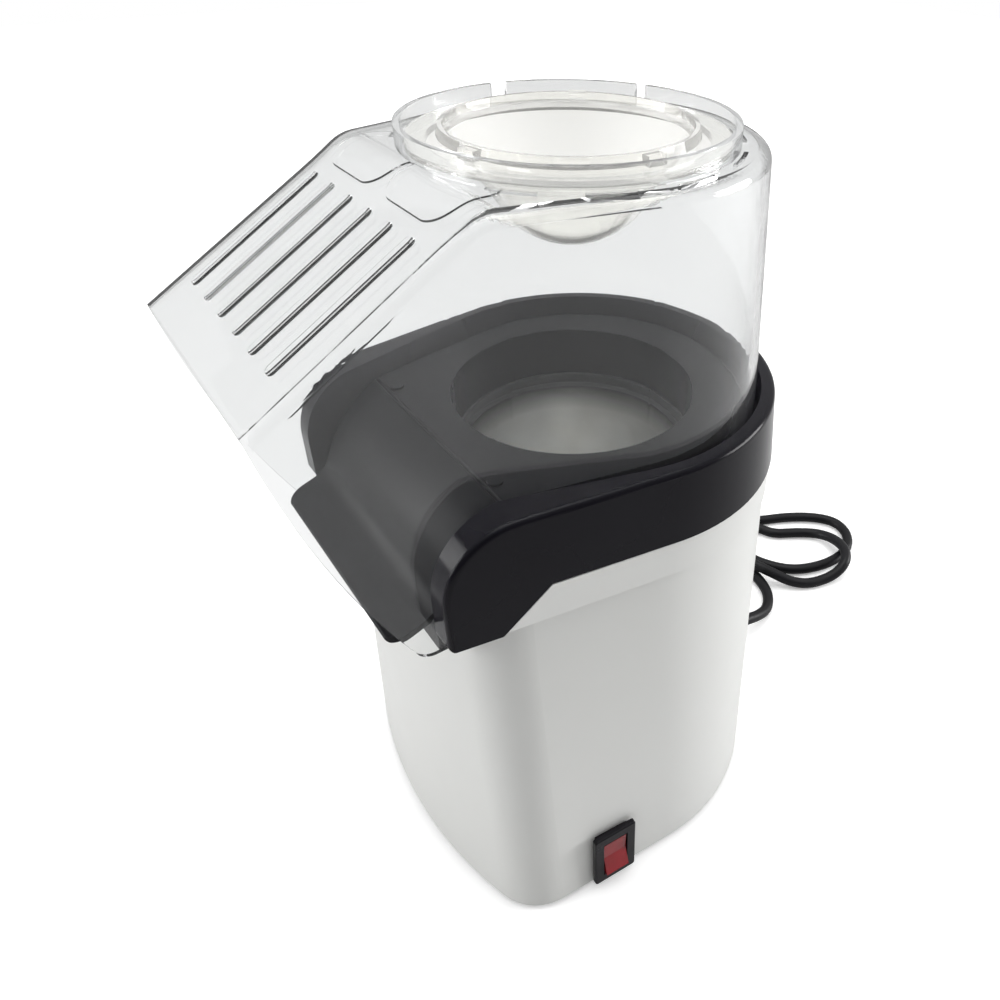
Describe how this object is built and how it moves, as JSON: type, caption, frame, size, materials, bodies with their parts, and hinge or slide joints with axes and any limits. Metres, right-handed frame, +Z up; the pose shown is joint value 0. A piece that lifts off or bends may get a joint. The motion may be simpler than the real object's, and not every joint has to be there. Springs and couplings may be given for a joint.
{
  "type": "popcorn maker",
  "caption": "Hot-air popcorn maker: tapered white tower, glossy black trim band and chute, clear ribbed hood lid with measuring cup, red rocker switch, black power cord.",
  "frame": {"origin": "centre of the object's footprint (cord left out), on the surface the feet stand on", "axes": "+Z up; -Y towards the popcorn spout (front); +X the side with the switch"},
  "size_m": [0.2333, 0.3475, 0.2865],
  "materials": {
    "white_shell": "semi-gloss moulded",
    "black_matt": "fine texture",
    "rubber_black": "matt",
    "steel_zinc": "zinc plated",
    "deck_black": "gloss moulded",
    "gloss_black": "high gloss moulded",
    "clear_plastic": "clear moulded polycarbonate",
    "cup_clear": "clear moulded polycarbonate",
    "chamber_aluminium": "satin pressed sheet",
    "silicone_seal": "matt",
    "shield_steel": "galvanised sheet",
    "mica": "mica board",
    "heater_wire": "oxidised resistance wire",
    "thermostat_steel": "plain",
    "fuse_aluminium": "plain",
    "duct_plastic": "heat-resistant moulded",
    "motor_steel": "zinc plated",
    "magnet_dark": "ferrite",
    "cap_plastic": "moulded",
    "bush_brass": "sintered",
    "armature_steel": "laminated",
    "copper_brass": "copper segments",
    "steel_shaft": "ground",
    "fan_plastic": "moulded",
    "bracket_steel": "pressed",
    "board_green": "circuit board",
    "diode_black": "moulded",
    "switch_black": "gloss moulded",
    "rocker_red": "translucent red",
    "terminal_brass": "tinned",
    "cord_black": "PVC sheath",
    "tie_black": "strap",
    "plug_black": "PVC moulded",
    "blade_brass": "nickel plated",
    "wire_white": "silicone sleeve",
    "wire_brown": "PVC",
    "wire_blue": "PVC"
  },
  "bodies": {
    "base": {"housing": "white_shell", "bottom_cover": "black_matt", "rubber_feet": "rubber_black", "cover_screws": "steel_zinc", "deck_tray": "deck_black", "trim_band": "gloss_black", "popping_chamber": "chamber_aluminium", "mouth_seal": "silicone_seal", "chamber_screws": "steel_zinc", "heat_shield": "shield_steel", "heater_frame": "mica", "heater_coils": "heater_wire", "thermostat": "thermostat_steel", "thermal_fuse": "fuse_aluminium", "fan_duct": "duct_plastic", "motor_can": "motor_steel", "motor_magnets": "magnet_dark", "motor_end_cap": "cap_plastic", "motor_bushes": "bush_brass", "motor_bracket": "bracket_steel", "bracket_screws": "steel_zinc", "rectifier_board": "board_green", "rectifier_diodes": "diode_black", "switch_body": "switch_black", "switch_terminals": "terminal_brass", "cord_gland": "cord_black", "power_cord": "cord_black", "cord_coil": "cord_black", "coil_tie": "tie_black", "plug_lead": "cord_black", "plug_body": "plug_black", "plug_blades": "blade_brass", "wire_switch_to_heater": "wire_white", "wire_cord_to_switch": "wire_brown", "wire_cord_to_rectifier": "wire_blue"},
    "rotor": {"motor_shaft": "steel_shaft", "motor_armature": "armature_steel", "commutator": "copper_brass", "fan": "fan_plastic"},
    "rocker_key": {"rocker": "rocker_red"},
    "lid_body": {"lid": "clear_plastic"},
    "cup_body": {"measuring_cup": "cup_clear"}
  },
  "joints": [
    {"name": "fan_spin", "type": "hinge", "parent": "base", "child": "rotor", "pos_m": [0, 0.022, 0.06], "axis": [0, 0, 1], "continuous": true},
    {"name": "rocker_tilt", "type": "hinge", "parent": "base", "child": "rocker_key", "pos_m": [0.07281, -0.00988, 0.01845], "axis": [0.0802, 0.9968, 0], "range_deg": [0, 17]},
    {"name": "lid_lift", "type": "slide", "parent": "base", "child": "lid_body", "axis": [0, 0, 1], "range_m": [0, 0.12]},
    {"name": "cup_lift", "type": "slide", "parent": "lid_body", "child": "cup_body", "axis": [0, 0, 1], "range_m": [0, 0.06]}
  ]
}
